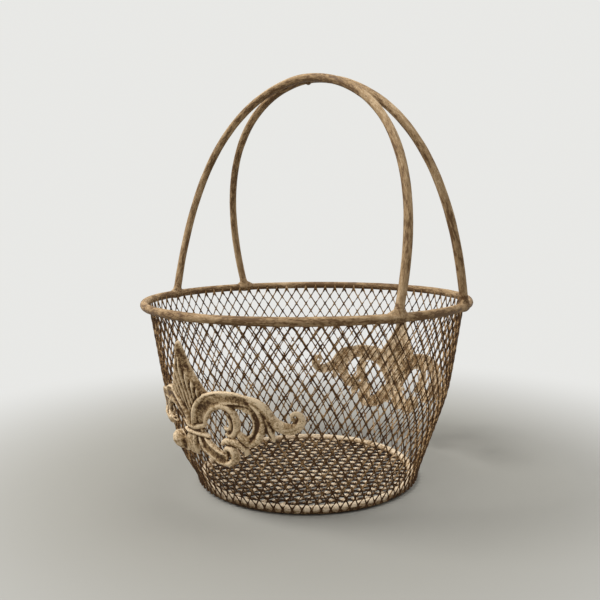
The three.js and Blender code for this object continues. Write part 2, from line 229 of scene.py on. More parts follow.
def join(objects: Sequence[Thing]) -> Thing:
    """Joins mesh objects into the first one.

    Args:
        objects: what to join.

    Returns:
        The joined object.
    """
    select_only(*objects)
    bpy.ops.object.join()
    return bpy.context.object


def fuse(obj: Thing, voxel: float, rounds: int) -> None:
    """Fuses overlapping bodies into one skin of a fineness, and softens it like poured metal."""
    apply_modifier(obj, "REMESH", mode="VOXEL", voxel_size=voxel)
    apply_modifier(obj, "SMOOTH", factor=0.5, iterations=rounds)


def roughen(obj: Thing, grain: float, depth: float) -> None:
    """Makes a surface slightly uneven.

    Args:
        obj: mesh object.
        grain: size of the unevenness.
        depth: its full depth.
    """
    clouds = bpy.data.textures.new(f"{obj.name} unevenness", "CLOUDS")
    clouds.noise_scale = grain
    clouds.noise_depth = 2
    apply_modifier(obj, "DISPLACE", texture=clouds, strength=depth, mid_level=0.5)


def mark_paint_and_light(obj: Thing, kept: Array) -> None:
    """Stores how well each point keeps its pale paint, from -1 to 1: real wear, and on some pieces painted
    shade and painted highlights.
    """
    layer = obj.data.attributes.new("ridge", "FLOAT", "POINT")
    layer.data.foreach_set("value", np.clip(kept, -1, 1).astype(np.float32))


def mark_ridges(obj: Thing, rounds: int, height: float, bias: Array) -> None:
    """Stores how far each point stands out of the smoothed form, which guides the wear, plus a bias that
    can carry painted shade.

    Args:
        obj: mesh object.
        rounds: rounds of smoothing that make the form to compare with.
        height: standing out that counts as a full ridge.
        bias: wear to add at each point; the castings give painted shade here.
    """
    points = points_of(obj)
    ends = edges_of(obj)
    count = len(points)
    degree = np.maximum(np.bincount(ends.ravel(), minlength=count), 1)[:, None]
    smooth = points.copy()
    for _ in range(rounds):
        total = np.zeros_like(smooth)
        for axis in range(3):
            for near, far in ((0, 1), (1, 0)):
                total[:, axis] += np.bincount(ends[:, near], smooth[ends[:, far], axis], count)
        smooth = total / degree
    normals = read(obj.data.vertices, "normal", 3)
    mark_paint_and_light(obj, bias + ((points - smooth) * normals).sum(1) / height)


def mark_flow(rod: Thing, middle: Array) -> None:
    """Stores places drawn together along a rod, so that wear on them runs lengthwise.

    Args:
        rod: mesh of the rod.
        middle: the rod's middle beside each point, points by three.
    """
    flow = points_of(rod) - (1 - ROD_DRAWN) * middle
    layer = rod.data.attributes.new("flow", "FLOAT_VECTOR", "POINT")
    layer.data.foreach_set("vector", flow.astype(np.float32).ravel())


def bent_rod(name: str, path: Array, radii: Array, roundness: int = 6) -> Thing:
    """Rod along a path, drawn as a curve with a round section and made a mesh.

    Args:
        name: name of the object.
        path: points of the rod's middle, points by three.
        radii: radius at each point.
        roundness: fineness of the section.

    Returns:
        The mesh object.
    """
    curve = bpy.data.curves.new(name, "CURVE")
    curve.dimensions = "3D"
    curve.bevel_depth = float(np.max(radii))
    curve.bevel_resolution = roundness
    curve.use_fill_caps = True
    spline = curve.splines.new("POLY")
    spline.points.add(len(path) - 1)
    spline.points.foreach_set("co", np.c_[path, np.ones(len(path))].ravel())
    spline.points.foreach_set("radius", radii / curve.bevel_depth)
    rod = put(name, curve)
    turn_to_mesh(rod)
    return rod


# Finishes


class NodeBoard:
    """Node tree with short calls to place and link nodes."""

    def __init__(self, tree: bpy.types.NodeTree) -> None:
        """Takes the tree to work on."""
        self.tree = tree

    @classmethod
    def cleared(cls, owner: bpy.types.Material | bpy.types.World) -> "NodeBoard":
        """Clears the nodes of a material or a world.

        Args:
            owner: what the nodes belong to.

        Returns:
            The empty board.
        """
        owner.use_nodes = True
        owner.node_tree.nodes.clear()
        return cls(owner.node_tree)

    def node(self, kind: str, inputs: dict | None = None, **fields: object) -> bpy.types.Node:
        """Places a node.

        Args:
            kind: type of node.
            inputs: value or linked socket for each input, by name or number.
            fields: values of the node's own fields.

        Returns:
            The node.
        """
        node = self.tree.nodes.new(kind)
        for name, value in fields.items():
            setattr(node, name, value)
        for name, value in (inputs or {}).items():
            if isinstance(value, Socket):
                self.tree.links.new(value, node.inputs[name])
            else:
                node.inputs[name].default_value = value
        return node

    def math(self, operation: str, a: Socket | float, b: Socket | float) -> Socket:
        """Places a sum on two values, and gives its result."""
        return self.node("ShaderNodeMath", {0: a, 1: b}, operation=operation).outputs[0]

    def total(self, *terms: tuple[Socket, float]) -> Socket:
        """Places a weighted sum.

        Args:
            terms: sockets, each with its weight.

        Returns:
            The sum's socket.
        """
        parts = [self.math("MULTIPLY", value, weight) for value, weight in terms]
        whole = parts[0]
        for part in parts[1:]:
            whole = self.math("ADD", whole, part)
        return whole

    def ramp(self, value: Socket, low: float, high: float) -> Socket:
        """Places a soft step, from 0 where the value is low to 1 where it is high."""
        inputs = {"Value": value, "From Min": low, "From Max": high}
        return self.node("ShaderNodeMapRange", inputs, interpolation_type="SMOOTHSTEP").outputs["Result"]

    def blend(self, part: Socket, a: Socket, b: Socket) -> Socket:
        """Places a blend of two colours, by the second one's share."""
        return self.node("ShaderNodeMix", data_type="RGBA", inputs={0: part, 6: a, 7: b}).outputs[2]

    def noise(self, place: Socket, scale: Socket, detail: float) -> Socket:
        """Places a noise pattern with values about 0.5, by its grains to a metre and its octaves."""
        inputs = {"Vector": place, "Scale": scale, "Detail": detail, "Roughness": 0.62}
        return self.node("ShaderNodeTexNoise", inputs).outputs[0]

    def seen(self) -> Socket:
        """Places a test for rays that the picture shows.

        Returns:
            Socket that is 1 for what is seen directly, by reflection or through glass.
        """
        rays = self.node("ShaderNodeLightPath").outputs
        seen = self.math("MAXIMUM", rays["Is Camera Ray"], rays["Is Glossy Ray"])
        return self.math("MAXIMUM", seen, rays["Is Transmission Ray"])


class PaintWearAndLightGroup:
    """Shared effect: pale paint worn off brown metal, kept on ridges, and on faces that look up partly as
    painted light from above.
    """

    NAME = "worn paint and painted light"
    INPUTS = {
        "Vector": ("Place",),
        "Color": ("Bare", "Paint", "Chalk"),
        "Float": ("Grain", "Cover", "Top", "Edge", "Ridge"),
    }
    OUTPUTS = {"Color": ("Color",), "Float": ("Roughness", "Height")}
    # How many times finer than the patches these grains are
    FINE, SPECKS = 6.0, 16.0
    # Usual sum of the weighted noises, taken off so that the wear lies about 0
    USUAL = 2.15

    @classmethod
    def tree(cls) -> bpy.types.NodeTree:
        """Builds the node group once.

        Returns:
            The node group.
        """
        if cls.NAME in bpy.data.node_groups:
            return bpy.data.node_groups[cls.NAME]
        tree = bpy.data.node_groups.new(cls.NAME, "ShaderNodeTree")
        for way, sockets in (("INPUT", cls.INPUTS), ("OUTPUT", cls.OUTPUTS)):
            for kind, names in sockets.items():
                for name in names:
                    tree.interface.new_socket(name, in_out=way, socket_type=f"NodeSocket{kind}")
        cls._fill(NodeBoard(tree))
        return tree

    @classmethod
    def _fill(cls, board: NodeBoard) -> None:
        """Places the nodes of the group.

        Args:
            board: the group's tree.
        """
        given = board.node("NodeGroupInput").outputs
        patches = board.noise(given["Place"], given["Grain"], 5.0)
        fine = board.noise(given["Place"], board.math("MULTIPLY", given["Grain"], cls.FINE), 4.0)
        specks = board.noise(given["Place"], board.math("MULTIPLY", given["Grain"], cls.SPECKS), 2.0)
        facing = board.node("ShaderNodeNewGeometry").outputs["Normal"]
        up = board.node("ShaderNodeSeparateXYZ", {0: facing}).outputs["Z"]

        # Partly painted light: faces that look up get more pale paint, both for paint kept on tops and as
        # painted light from above
        top = board.math("MULTIPLY", up, given["Top"])
        edge = board.math("MULTIPLY", given["Ridge"], given["Edge"])
        shape = board.math("ADD", board.math("ADD", top, edge), given["Cover"])
        uneven = board.total((patches, 1.9), (fine, 1.7), (specks, 0.7))
        wear = board.math("ADD", board.math("SUBTRACT", uneven, cls.USUAL), shape)
        painted = board.ramp(wear, -0.2, 0.14)
        chalky = board.ramp(board.total((wear, 1.0), (specks, 0.5)), 0.4, 0.85)
        pitted = board.ramp(specks, 0.64, 0.70)
        paint = board.blend(painted, given["Bare"], given["Paint"])
        chalk = board.blend(chalky, paint, given["Chalk"])
        colour = board.blend(board.math("MULTIPLY", pitted, 0.6), chalk, given["Bare"])
        rough = board.total((painted, 0.18), (fine, 0.3))
        height = board.total((painted, 0.5), (fine, 0.5), (pitted, -0.6))
        outputs = {"Color": colour, "Roughness": board.math("ADD", rough, 0.42), "Height": height}
        board.node("NodeGroupOutput", outputs)


@dataclass(frozen=True)
class PaintWearAndLight:
    """Finish of one kind of piece: the colours, how the paint has worn, and how much painted light its
    upward faces get.
    """

    name: str
    bare: Colour
    paint: Colour
    chalk: Colour
    grain: float = 90.0
    flowing: bool = False
    cover: float = 0.0
    # Share of pale paint that faces looking up gain: partly paint kept on tops, partly painted light from
    # above
    top: float = 0.3
    edge: float = 0.0
    bump: float = 0.25 * MM
    shine: float = 0.22

    def material(self) -> Finish:
        """Builds the material.

        Returns:
            The material, ready to go on a piece.
        """
        material = bpy.data.materials.new(self.name)
        board = NodeBoard.cleared(material)
        if self.flowing:
            place = board.node("ShaderNodeAttribute", attribute_name="flow").outputs["Vector"]
        else:
            place = board.node("ShaderNodeTexCoord").outputs["Object"]
        ridge = board.node("ShaderNodeAttribute", attribute_name="ridge").outputs["Fac"]
        given = {"Place": place, "Ridge": ridge, "Bare": self.bare, "Paint": self.paint}
        given |= {"Chalk": self.chalk, "Grain": self.grain, "Cover": self.cover}
        given |= {"Top": self.top, "Edge": self.edge}
        worn = board.node("ShaderNodeGroup", given, node_tree=PaintWearAndLightGroup.tree()).outputs
        relief = {"Height": worn["Height"], "Strength": 1.0, "Distance": self.bump}
        surface = {
            "Base Color": worn["Color"],
            "Roughness": worn["Roughness"],
            "Normal": board.node("ShaderNodeBump", relief).outputs["Normal"],
            "Metallic": 0.0,
            "Specular IOR Level": self.shine,
        }
        shader = board.node("ShaderNodeBsdfPrincipled", surface)
        board.node("ShaderNodeOutputMaterial", {"Surface": shader.outputs[0]})
        return material


def dress(obj: Thing, name: str, finish: Finish, slot: str, *nodes: str) -> None:
    """Shades and names a finished piece, gives it its finish and ties it to the frame.

    Args:
        obj: the piece.
        name: its name.
        finish: its material.
        slot: the record's slot for that finish.
        nodes: frame nodes that it stands for.
    """
    select_only(obj)
    bpy.ops.object.shade_smooth_by_angle(angle=math.radians(SMOOTHED[slot]))
    obj.name = name
    obj.data.name = name
    obj.data.materials.clear()
    obj.data.materials.append(finish)
    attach(obj, BODY)
    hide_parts(*nodes)
    LOG.info("%s: %d points, stands for %s", name, len(obj.data.vertices), ", ".join(nodes))


# Basket


@dataclass(frozen=True)
class WallForm:
    """Shape of revolution of the wall: two straight runs with a soft knee, upright at the foot."""

    rim_radius: float = 130 * MM
    rim_height: float = 146.5 * MM
    rod_radius: float = 3.2 * MM
    top_radius: float = 126 * MM
    knee_height: float = 75.6 * MM
    knee_radius: float = 115.4 * MM
    knee_softness: float = 9.8 * MM
    lower_run_end: float = 88.4 * MM
    foot_radius: float = 90.2 * MM
    foot_softness: float = 1.8 * MM
    foot_ring_radius: float = 86.4 * MM
    casting_axes: tuple[float, float] = (math.radians(-90), math.radians(88))
    casting_seat: float = 1.3 * MM
    casting_lean: float = 0.22

    def radius(self, height: Array | float) -> Array | float:
        """Radius of the middle of the wall.

        Args:
            height: height above the floor.

        Returns:
            The radius there.
        """
        upper = (self.top_radius - self.knee_radius) / (self.rim_height - self.knee_height)
        lower = (self.knee_radius - self.lower_run_end) / self.knee_height
        above = height - self.knee_height
        turn = (lower - upper) / 2 * np.hypot(above, self.knee_softness)
        beyond = self.knee_radius + (lower + upper) / 2 * above - turn - self.foot_radius
        return self.foot_radius + (beyond + np.hypot(beyond, self.foot_softness)) / 2

    def casting_back(self, height: Array) -> Array:
        """Radius of the castings' backs: stiff and straight from top to bottom, resting on the knee."""
        knee = self.radius(self.knee_height) + self.casting_seat
        return knee + self.casting_lean * (height - self.knee_height)

    def slope(self, height: Array, step: float = 0.5 * MM) -> Array:
        """Growth of the radius with height, measured over a step."""
        return (self.radius(height + step / 2) - self.radius(height - step / 2)) / step

    def steps(self, low: float, high: float, count: int = 400) -> tuple[Array, Array]:
        """Heights along the wall against the share of its length.

        Args:
            low: lowest height.
            high: highest height.
            count: fineness.

        Returns:
            Shares from 0 to 1, and the height at each.
        """
        heights = np.linspace(low, high, count)
        lengths = np.cumsum(np.hypot(1, self.slope(heights)))
        return (lengths - lengths[0]) / (lengths[-1] - lengths[0]), heights


@dataclass
class RodRing:
    """Ring of rod that lies flat."""

    name: str
    node: str
    radius: float
    height: float
    rod_radius: float = 3.2 * MM
    segments: int = 200
    sides: int = 20

    def build(self, finish: Finish) -> None:
        """Bends the rod to a ring, a little uneven as by hand.

        Args:
            finish: its material.
        """
        bpy.ops.object.select_all(action="DESELECT")
        bpy.ops.mesh.primitive_torus_add(
            major_radius=self.radius,
            minor_radius=self.rod_radius,
            major_segments=self.segments,
            minor_segments=self.sides,
            location=(0, 0, self.height),
        )
        ring = bpy.context.object
        ring.name = self.name
        bpy.ops.object.transform_apply(location=True)
        roughen(ring, grain=22 * MM, depth=0.5 * MM)
        middle = points_of(ring) * np.array([1, 1, 0])
        middle *= self.radius / np.linalg.norm(middle, axis=1)[:, None]
        mark_flow(ring, middle + np.array([0, 0, self.height]))
        dress(ring, self.name, finish, "rod", self.node)


@dataclass
class DiamondMesh:
    """Expanded metal: strands that part and meet again in rows of raised diamonds."""

    strand: float = 1.35 * MM
    slim: float = 0.72
    depth_share: float = 1.0
    raised: float = 0.45 * MM

    def sheet(self, name: str, columns: int, rows: int) -> Thing:
        """Flat unit sheet of squares with both diagonals.

        Args:
            name: name of the object.
            columns: diamonds across.
            rows: diamonds up.

        Returns:
            The sheet, from 0 to 1 in X and Y.
        """
        bpy.ops.object.select_all(action="DESELECT")
        bpy.ops.mesh.primitive_grid_add(
            x_subdivisions=columns, y_subdivisions=rows, size=1, location=(0.5, 0.5, 0)
        )
        sheet = bpy.context.object
        sheet.name = name
        bpy.ops.object.transform_apply(location=True)
        with editing(sheet, Part.FACE):
            bpy.ops.mesh.poke()
        ends = points_of(sheet)[edges_of(sheet)]
        run = np.abs(ends[:, 0] - ends[:, 1])
        square = sheet.data.attributes.new("square", "BOOLEAN", "EDGE")
        square.data.foreach_set("value", run[:, :2].min(1) < 1e-6)
        return sheet

    def open_up(self, sheet: Thing) -> None:
        """Takes out the edges of the squares, drops half diamonds, and makes edges into strands.

        The strands are slimmer in the middle than at the bonds, where they meet.

        Args:
            sheet: sheet in its final form.
        """
        square = read(sheet.data.attributes["square"].data, "value", 1, bool)[:, 0]
        with picked(sheet, Part.EDGE, square):
            bpy.ops.mesh.dissolve_edges(use_verts=False)
        half = np.array([len(face.vertices) == 3 for face in sheet.data.polygons])
        with picked(sheet, Part.FACE, half):
            bpy.ops.mesh.delete(type="FACE")
        bonds = sheet.vertex_groups.new(name="bonds")
        bonds.add(range(len(sheet.data.vertices)), 1.0, "REPLACE")
        self._halve_edges(sheet)
        apply_modifier(
            sheet,
            "WIREFRAME",
            thickness=self.strand,
            vertex_group=bonds.name,
            thickness_vertex_group=self.slim,
            offset=0.0,
            use_even_offset=True,
            use_boundary=True,
            use_replace=True,
        )

    @staticmethod
    def _halve_edges(sheet: Thing) -> None:
        """Puts a point in the middle of every edge.

        Args:
            sheet: sheet of diamonds.
        """
        grid = bmesh.new()
        grid.from_mesh(sheet.data)
        weights = grid.verts.layers.deform.verify()
        for edge in list(grid.edges):
            middle = bmesh.utils.edge_split(edge, edge.verts[0], 0.5)[1]
            middle[weights].clear()
        grid.to_mesh(sheet.data)
        grid.free()

    def stand(self, rows_up: Array, out: Array) -> Array:
        """Distance from the sheet's middle in the raised mesh: bonds lean one way, strands the other."""
        return out * self.depth_share - self.raised * np.sin(rows_up * 4 * math.pi)


@dataclass
class WallMesh(DiamondMesh):
    """Wall of mesh, bent round and drawn in to the foot."""

    form: WallForm = WallForm()
    columns: int = 82
    rows: int = 11
    first_angle: float = math.radians(2.7)
    drift: float = math.radians(3.2)
    drift_from: float = math.radians(-35)
    low: float = -9.4 * MM
    cut: float = 2.4 * MM
    high: float = 143 * MM
    high_reach: float = 0.2 * MM
    stem: float = 3.4 * MM
    stem_lean: float = 0.6 * MM
    pull_low: float = 5 * MM
    pull_full: float = 38 * MM
    pull_half_width: float = math.radians(38)
    pull_fade: float = math.radians(14)
    # Height under which the strands darken, as painted shade near the foot
    shaded_below: float = 14 * MM

    def build(self, finish: Finish) -> None:
        """Bends the sheet to the wall.

        Args:
            finish: its material.
        """
        wall = self.sheet("wall_lattice", self.columns, self.rows)
        flat = points_of(wall)
        shares, heights = self.form.steps(self.low, self.high)
        height = np.interp(flat[:, 1], shares, heights)
        angle = self.first_angle + flat[:, 0] * math.tau
        angle -= self.drift * (1 - flat[:, 1]) * (1 + np.cos(angle - self.drift_from)) / 2
        radius = self.form.radius(height)
        place_points(wall, np.c_[radius * np.cos(angle), radius * np.sin(angle), height])
        merge_points(wall)
        self.open_up(wall)
        points = points_of(wall)
        rows_up = np.interp(points[:, 2], heights, shares) * self.rows
        distance = np.linalg.norm(points[:, :2], axis=1)
        slope = self.form.slope(points[:, 2])
        steep = np.hypot(1, slope)
        out = (distance - self.form.radius(points[:, 2])) / steep
        away = (self.stand(rows_up, out) - out) / steep
        points[:, :2] *= (1 + away / distance)[:, None]
        points[:, 2] -= slope * away
        risen = share(points[:, 2], self.high - self.high_reach, self.high + self.high_reach)
        points[:, :2] *= (1 + self.stem_lean * risen / distance)[:, None]
        points[:, 2] += self.stem * risen
        points[:, :2] *= (1 + self._pull(points) / distance)[:, None]
        place_points(wall, points)
        with editing(wall, Part.FACE):
            bpy.ops.mesh.bisect(
                plane_co=(0, 0, self.cut), plane_no=(0, 0, 1), use_fill=True, clear_inner=True
            )
        # Painted shade: the strands near the foot lose their pale paint and turn dark
        mark_paint_and_light(wall, np.minimum(points_of(wall)[:, 2] / self.shaded_below - 1.5, 0))
        dress(wall, "wall_lattice", finish, "mesh", "wall_mesh")

    def _pull(self, points: Array) -> Array:
        """How far the castings, fixed to the mesh, draw it out below the knee.

        Args:
            points: points of the wall.

        Returns:
            Distance outwards at each point.
        """
        height = points[:, 2]
        gap = self.form.casting_back(height) - self.form.casting_seat - self.form.radius(height)
        rise = share(height, self.pull_low, self.pull_full)
        below = share(height, self.form.knee_height, self.form.knee_height - self.pull_low)
        around = np.arctan2(points[:, 1], points[:, 0])
        near = np.zeros(len(points))
        for axis in self.form.casting_axes:
            off = np.abs((around - axis + math.pi) % math.tau - math.pi)
            near = np.maximum(near, share(off, self.pull_half_width + self.pull_fade, self.pull_half_width))
        return np.maximum(gap, 0) * soft(rise) * below * soft(near)


@dataclass
class BaseMesh(DiamondMesh):
    """Flat disc of the same mesh inside the foot ring."""

    strand: float = 1.9 * MM
    slim: float = 0.6
    depth_share: float = 1.6
    raised: float = 1.0 * MM
    short_way: float = 9.1 * MM
    long_way: float = 15.5 * MM
    reach: float = 86 * MM
    middle: float = 2.6 * MM
    turn: float = math.radians(-5.5)

    def build(self, finish: Finish) -> None:
        """Cuts the sheet round and lays it on the floor of the basket.

        Args:
            finish: its material.
        """
        columns = 2 * math.ceil(self.reach / self.short_way) + 2
        rows = 2 * math.ceil(self.reach / self.long_way) + 2
        base = self.sheet("base_lattice", columns, rows)
        flat = points_of(base)
        across = (flat[:, 0] - 0.5) * columns * self.short_way
        along = (flat[:, 1] - 0.5) * rows * self.long_way
        place_points(base, np.c_[across, along, np.full(len(flat), self.middle)])
        self._cut_round(base)
        self.open_up(base)
        points = points_of(base)
        rows_up = points[:, 1] / self.long_way
        points[:, 2] = self.middle + self.stand(rows_up, points[:, 2] - self.middle)
        # Painted highlight: the bonds, where light catches the raised mesh, keep bright pale paint and the
        # strands between lose it
        bonds = np.cos(math.tau * points[:, 0] / self.short_way) * np.cos(math.tau * rows_up)
        mark_paint_and_light(base, 2 * bonds - 1)
        cos, sin = math.cos(self.turn), math.sin(self.turn)
        turned = points[:, :2] @ np.array([[cos, sin], [-sin, cos]])
        place_points(base, np.c_[turned, points[:, 2]])
        dress(base, "base_lattice", finish, "mesh", "base_mesh")

    def _cut_round(self, base: Thing) -> None:
        """Deletes what lies outside the foot ring and draws the cut ends onto it.

        Args:
            base: flat sheet.
        """
        faces = np.array([face.vertices[:] for face in base.data.polygons])
        middles = points_of(base)[faces].mean(1)
        with picked(base, Part.FACE, np.linalg.norm(middles[:, :2], axis=1) > self.reach):
            bpy.ops.mesh.delete(type="FACE")
        points = points_of(base)
        distance = np.linalg.norm(points[:, :2], axis=1)
        points[:, :2] *= np.minimum(1, self.reach / np.maximum(distance, MM))[:, None]
        place_points(base, points)


@dataclass
class ArchHandles:
    """Two arched rods welded to the rim and to each other."""

    form: WallForm = WallForm()
    rise: float = 175.7 * MM
    foot_angle: float = math.radians(18.2)
    shoulder_out: float = 11 * MM
    crown_reach: float = 6 * MM
    crown_offset: float = 3.35 * MM
    sag: float = 6.6 * MM
    steps: int = 96
    weld_voxel: float = 0.45 * MM
    weld_rise: float = 9.5 * MM
    weld_reach: float = 7.5 * MM
    weld_steps: int = 12
    toe_step: int = 7
    toe_steps: int = 6
    sleeve_steps: int = 15
    # Radii of the welds in radii of the rod
    stem_top: float = 1.03
    stem_flare: float = 0.5
    sleeve_end: float = 0.98
    sleeve_swell: float = 0.26
    toe_radius: float = 0.55
    toe_height: float = 0.5
    bead_radius: float = 0.97
    bead_from: float = -1 * MM
    bead_to: float = 50 * MM
    bead_steps: int = 30
    drip_across: float = 0.6 * MM
    # The drip from its root to its tip: along the span, down from the crown, and its radius
    drip: tuple[Place, ...] = ((5.5, 1.6, 2.6), (4.2, 2.6, 2.5), (3.2, 3.6, 2.2), (2.6, 4.4, 1.5))

    def half_arch(self) -> tuple[Array, Array]:
        """Half of the arch, from the foot to the crown.

        Returns:
            Distance from the middle along X, and height above the rim's middle.
        """
        t = np.linspace(0, 1, self.steps)
        foot = self.form.rim_radius * math.cos(self.foot_angle)
        outer = foot + self.shoulder_out
        span = (1 - t) ** 3 * foot + 3 * (1 - t) ** 2 * t * outer + 3 * (1 - t) * t**2 * self.crown_reach
        height = self.rise * (3 * (1 - t) ** 2 * t + 3 * (1 - t) * t**2 + t**3)
        return span, height

    def path(self, side: int) -> Array:
        """Middle of one rod.

        Args:
            side: -1 for the front rod, 1 for the back one.

        Returns:
            Points from the foot at +X to the foot at -X.
        """
        span, height = self.half_arch()
        climb = height / self.rise
        foot = self.form.rim_radius * math.sin(self.foot_angle)
        offset = foot + (self.crown_offset - foot) * climb - self.sag * climb * (1 - climb)
        half = np.c_[span, side * offset, height + self.form.rim_height]
        return np.vstack([half, half[-2::-1] * np.array([-1, 1, 1])])

    def build(self, rod: Finish, weld: Finish) -> None:
        """Makes the rods and their welds.

        Args:
            rod: finish of the rods.
            weld: finish of the welds.
        """
        for place, side in (("front", -1), ("back", 1)):
            path = self.path(side)
            arch = bent_rod(f"{place}_arch", path, np.full(len(path), self.form.rod_radius))
            roughen(arch, grain=24 * MM, depth=0.5 * MM)
            apart = np.linalg.norm(points_of(arch)[:, None] - path[None], axis=2)
            mark_flow(arch, path[apart.argmin(1)])
            dress(arch, f"{place}_arch", rod, "rod", f"handle_{place}")
            for hand, along in (("right", path), ("left", path[::-1])):
                foot = self._foot_weld(along)
                fuse(foot, self.weld_voxel, rounds=7)
                roughen(foot, grain=3 * MM, depth=0.35 * MM)
                dress(foot, f"foot_fillet_{place}_{hand}", weld, "weld", f"foot_weld_{place}_{hand}")
        bead = self._crown_bead()
        fuse(bead, self.weld_voxel, rounds=5)
        roughen(bead, grain=4 * MM, depth=0.4 * MM)
        dress(bead, "crown_bead", weld, "weld", "crown_weld")

    def _foot_weld(self, path: Array) -> Thing:
        """Flared weld where a rod stands on the rim: a stem, a sleeve on the rim and two toes.

        Args:
            path: the rod's middle, from this foot upwards.

        Returns:
            The weld's bodies, joined.
        """
        rod_radius = self.form.rod_radius
        foot = path[0]
        climb = np.linspace(0, 1, self.weld_steps)
        heights = foot[2] + climb * self.weld_rise
        lowest = path[: self.steps // 4]
        level = [np.interp(heights, lowest[:, 2], lowest[:, axis]) for axis in range(2)]
        stem = np.array(level + [heights]).T
        flare = self.stem_top + self.stem_flare * (1 - climb) ** 2
        bodies = [bent_rod("weld stem", stem, rod_radius * flare, 4)]
        spread = np.linspace(-1, 1, self.sleeve_steps)
        around = math.atan2(foot[1], foot[0]) + spread * self.weld_reach / self.form.rim_radius
        arc = np.c_[np.cos(around), np.sin(around)] * self.form.rim_radius
        sleeve = np.c_[arc, np.full(self.sleeve_steps, foot[2])]
        swell = self.sleeve_end + self.sleeve_swell * (1 - spread**2)
        bodies.append(bent_rod("weld sleeve", sleeve, rod_radius * swell, 4))
        top = stem[self.toe_step]
        for end in (0, -1):
            toe = sleeve[end] + np.array([0, 0, self.toe_height * rod_radius])
            run = np.linspace(top, toe, self.toe_steps)
            radii = np.full(self.toe_steps, self.toe_radius * rod_radius)
            bodies.append(bent_rod("weld toe", run, radii, 3))
        return join(bodies)

    def _crown_bead(self) -> Thing:
        """Bead that fills the valley between the rods at the crown, with a drip at its end.

        Returns:
            The bead and the drip, joined.
        """
        span, height = self.half_arch()
        along = np.linspace(self.bead_from, self.bead_to, self.bead_steps)
        above = np.interp(np.abs(along), span[::-1], height[::-1]) + self.form.rim_height
        count = np.arange(self.bead_steps)
        ends = np.minimum(1, np.minimum(count, count[::-1]) / 3 + 0.4)
        bead = np.c_[along, np.zeros(self.bead_steps), above]
        bodies = [bent_rod("bead", bead, self.form.rod_radius * self.bead_radius * ends, 4)]
        out, down, radii = np.array(self.drip).T * MM
        crown = self.form.rim_height + self.rise
        drip = np.c_[out, np.full(len(out), self.drip_across), crown - down]
        bodies.append(bent_rod("drip", drip, radii, 4))
        return join(bodies)


# Scroll casting


class Section(Enum):
    """Cross-sections of the casting's bands: across from -1 to 1, and out from 0 to 1."""

    ROLL = (
        (-1, 0), (-0.96, 0.35), (-0.82, 0.64), (-0.55, 0.87), (0, 1),
        (0.55, 0.87), (0.82, 0.64), (0.96, 0.35), (1, 0),
    )
    PLATE = ((-1, 0), (-0.98, 0.75), (-0.86, 1), (0.86, 1), (0.98, 0.75), (1, 0))
    HOLLOW = (
        (-1, 0), (-0.97, 0.7), (-0.88, 0.96), (-0.74, 0.98), (-0.4, 0.8), (0, 0.72),
        (0.4, 0.8), (0.74, 0.98), (0.88, 0.96), (0.97, 0.7), (1, 0),
    )


ROLL, PLATE, HOLLOW = Section


@dataclass(frozen=True)
class Band:
    """Tapering band of the casting, drawn flat in millimetres from its axis and its waist.

    Each point of its spine has a place across, a place up and half the band's width.
    """

    section: Section
    height: float
    spine: tuple[Place, ...]

    def build(self, side: Side) -> Thing:
        """Sweeps the section along the spine.

        Args:
            side: side of the casting that it is drawn on.

        Returns:
            The band as a mesh, in metres.
        """
        spine = np.array(self.spine)
        widest = spine[:, 2].max()
        profile = self._line("band section", self.section.value, (widest * MM, self.height * MM), True)
        band = self._line("band", spine[:, :2], (side.value * MM, MM), False)
        band.data.splines[0].bezier_points.foreach_set("radius", spine[:, 2] / widest)
        band.data.bevel_mode = "OBJECT"
        band.data.bevel_object = profile
        band.data.use_fill_caps = True
        band.data.resolution_u = 8
        turn_to_mesh(band)
        bpy.data.objects.remove(profile)
        return band

    @staticmethod
    def _line(name: str, corners: Sequence, scale: tuple[float, float], closed: bool) -> Thing:
        """Flat curve through points, straight where closed and smooth where open.

        Args:
            name: name of the curve.
            corners: its points, by two.
            scale: size of a unit in X and Y.
            closed: whether it is closed.

        Returns:
            The curve object.
        """
        curve = bpy.data.curves.new(name, "CURVE")
        curve.dimensions = "2D"
        curve.fill_mode = "NONE"
        spline = curve.splines.new("BEZIER")
        spline.bezier_points.add(len(corners) - 1)
        kind = "VECTOR" if closed else "AUTO"
        for point, (x, y) in zip(spline.bezier_points, corners):
            point.co = (x * scale[0], y * scale[1], 0)
            point.handle_left_type = kind
            point.handle_right_type = kind
        spline.use_cyclic_u = closed
        curve.resolution_u = 1
        return put(name, curve)


